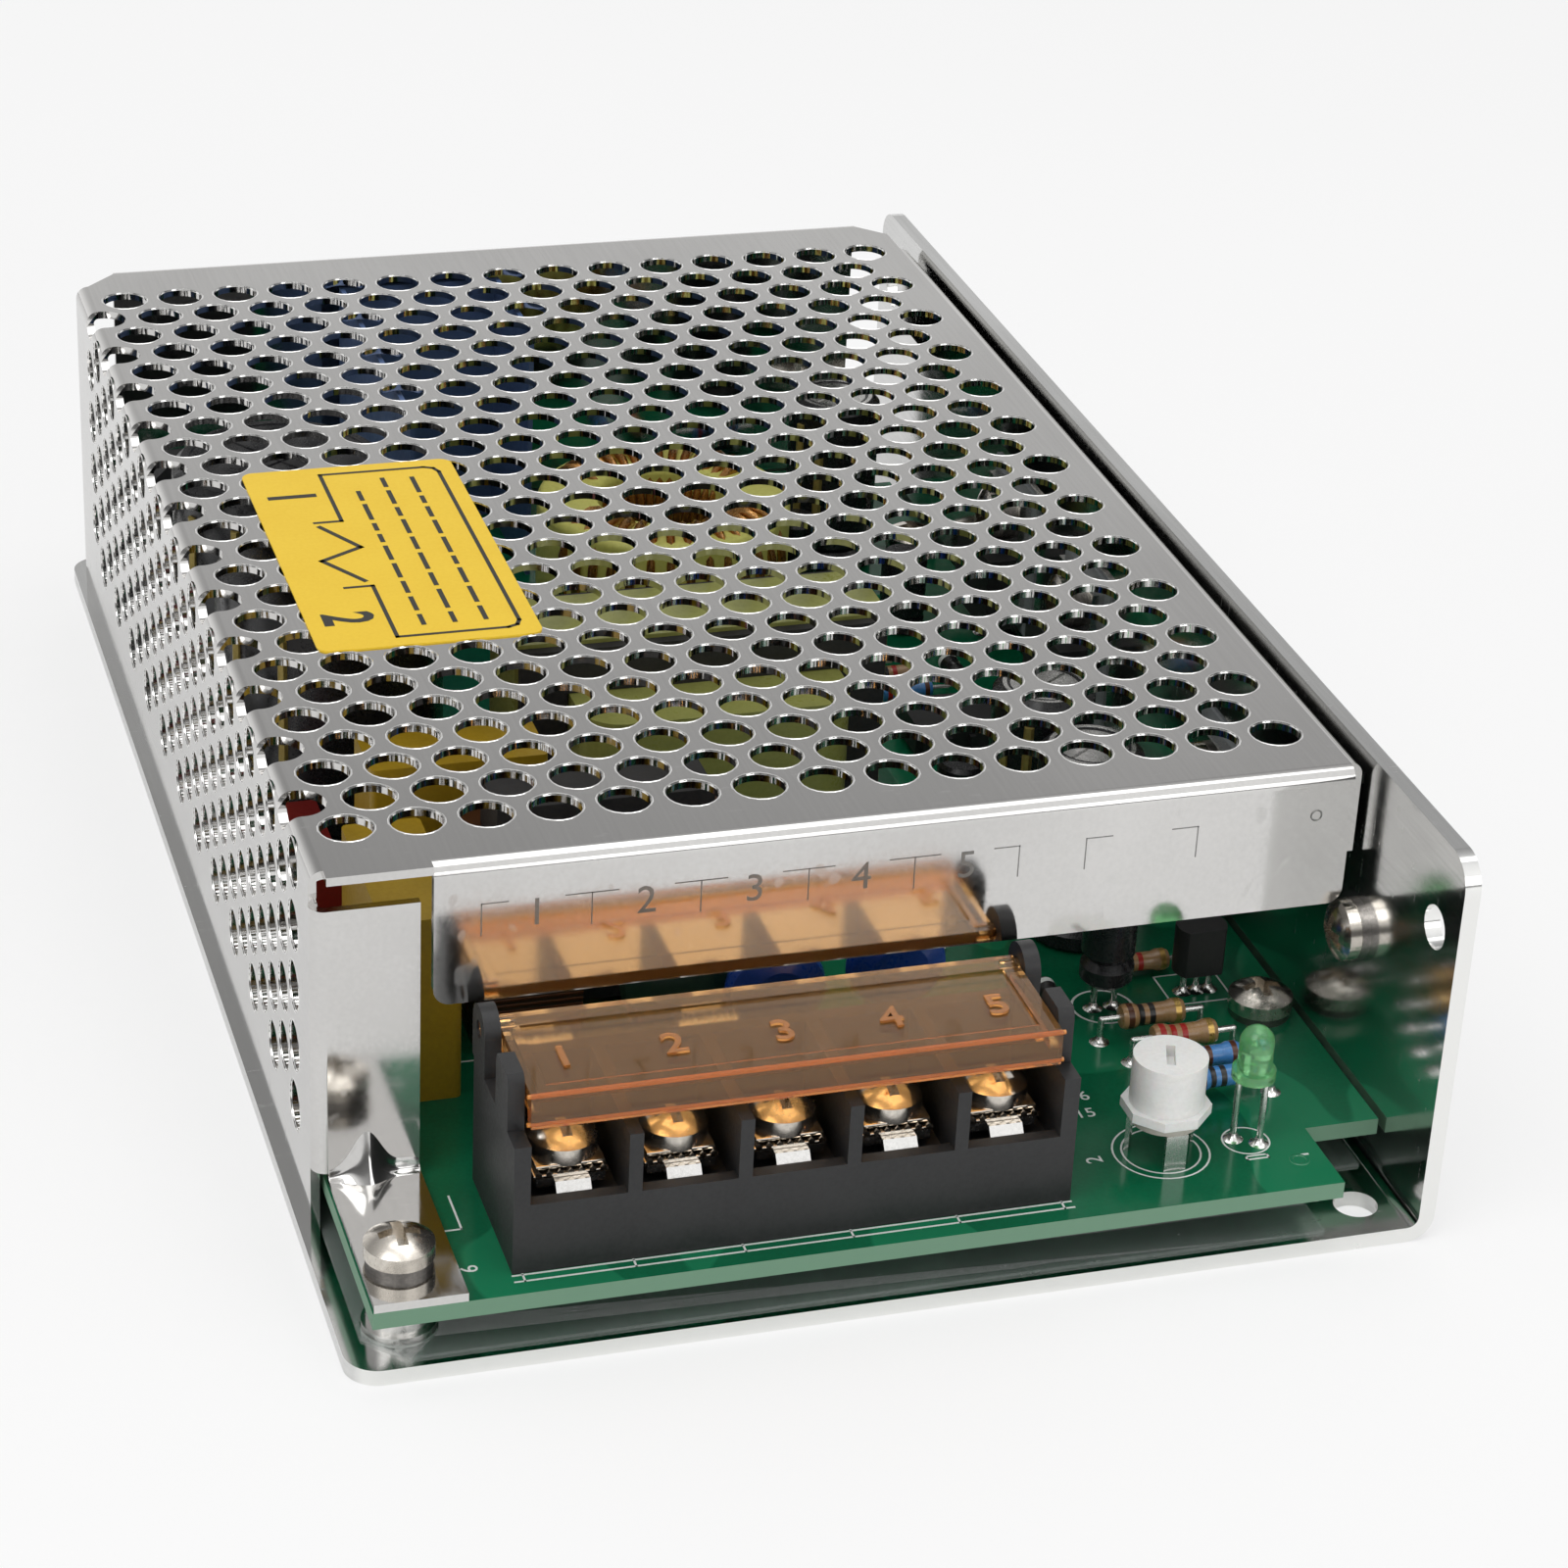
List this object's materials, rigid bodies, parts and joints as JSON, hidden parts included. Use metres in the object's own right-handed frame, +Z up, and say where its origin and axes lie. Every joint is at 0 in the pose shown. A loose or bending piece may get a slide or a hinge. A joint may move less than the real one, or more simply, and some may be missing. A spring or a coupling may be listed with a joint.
{
  "type": "mesh case switching power supply",
  "caption": "Switching power supply on an L shaped aluminium chassis with a perforated sheet cover, screw terminals under an amber flip cover, an adjuster and a status lamp.",
  "frame": {"origin": "on the base plane, under the middle of the case", "axes": "+Z up, -Y towards the terminal end, +X towards the solid chassis wall"},
  "size_m": [0.097, 0.159, 0.038],
  "materials": {
    "case_aluminium": "bright mill finish with fine scratches",
    "cover_steel": "bright satin plated sheet",
    "board_green": "glossy solder mask",
    "film": "clear film",
    "label_yellow": "printed film",
    "screw_steel": "bright nickel plate",
    "dark_steel": "dull plate",
    "tin": "bright tin plate",
    "block_black": "moulded",
    "flip_amber": "clear amber",
    "phenolic": "matt",
    "knob_white": "smooth",
    "lamp_green": "clear tinted",
    "resistor_tan": "lacquer",
    "resistor_blue": "lacquer",
    "epoxy_black": "moulded",
    "sleeve_black": "heat shrunk sleeve",
    "box_yellow": "moulded box",
    "disc_blue": "dipped coat",
    "thermistor_green": "dipped coat",
    "fuse_glass": "clear",
    "ferrite": "matt",
    "copper": "enamelled wire",
    "tape_yellow": "polyester tape",
    "ring_yellow": "painted powder core",
    "pad_gray": "silicone",
    "shield_blue": "sheet",
    "selector_red": "moulded"
  },
  "bodies": {
    "case": {"chassis": "case_aluminium", "insulation_film": "film", "standoffs": "tin", "circuit_board": "board_green", "mesh_cover": "cover_steel", "cover_label": "label_yellow", "foot_screw": "screw_steel", "board_screws": "screw_steel", "spring_washers": "dark_steel", "wall_screws": "screw_steel", "terminal_block": "block_black", "terminal_tongues": "tin", "terminal_plates": "screw_steel", "terminal_screws": "screw_steel", "trimmer_base": "phenolic", "trimmer_legs": "tin", "status_lamp": "lamp_green", "component_legs": "tin", "carbon_resistors": "resistor_tan", "film_resistors": "resistor_blue", "resistor_leads": "tin", "small_transistor": "epoxy_black", "small_capacitor": "sleeve_black", "box_capacitors": "box_yellow", "disc_capacitors": "disc_blue", "thermistor": "thermistor_green", "fuse_tube": "fuse_glass", "fuse_caps": "tin", "fuse_clips": "tin", "line_filter_core": "ferrite", "line_filter_coils": "copper", "bulk_capacitors": "sleeve_black", "output_capacitors": "sleeve_black", "transformer_core": "ferrite", "transformer_coil": "tape_yellow", "transformer_tape": "tape_yellow", "transformer_bobbin": "epoxy_black", "choke_ring": "ring_yellow", "choke_winding": "copper", "choke_base": "epoxy_black", "bridge_rectifier": "epoxy_black", "power_devices": "epoxy_black", "device_tabs": "tin", "device_pads": "pad_gray", "insulation_shield": "shield_blue", "control_chips": "epoxy_black", "selector_body": "selector_red"},
    "flip_cover": {"terminal_cover": "flip_amber"},
    "knob": {"trimmer_knob": "knob_white"},
    "slider": {"selector_slider": "knob_white"}
  },
  "joints": [
    {"name": "terminal_cover_hinge", "type": "hinge", "parent": "case", "child": "flip_cover", "pos_m": [-0.0096, -0.0634, 0.0231], "axis": [-1, 0, 0], "range_deg": [0, 98]},
    {"name": "trimmer_turn", "type": "hinge", "parent": "case", "child": "knob", "pos_m": [0.0255, -0.071, 0.0115], "axis": [0, 0, 1], "range_deg": [-135, 135]},
    {"name": "selector_slide", "type": "slide", "parent": "case", "child": "slider", "axis": [0, 1, 0], "range_m": [0, 0.003]}
  ]
}
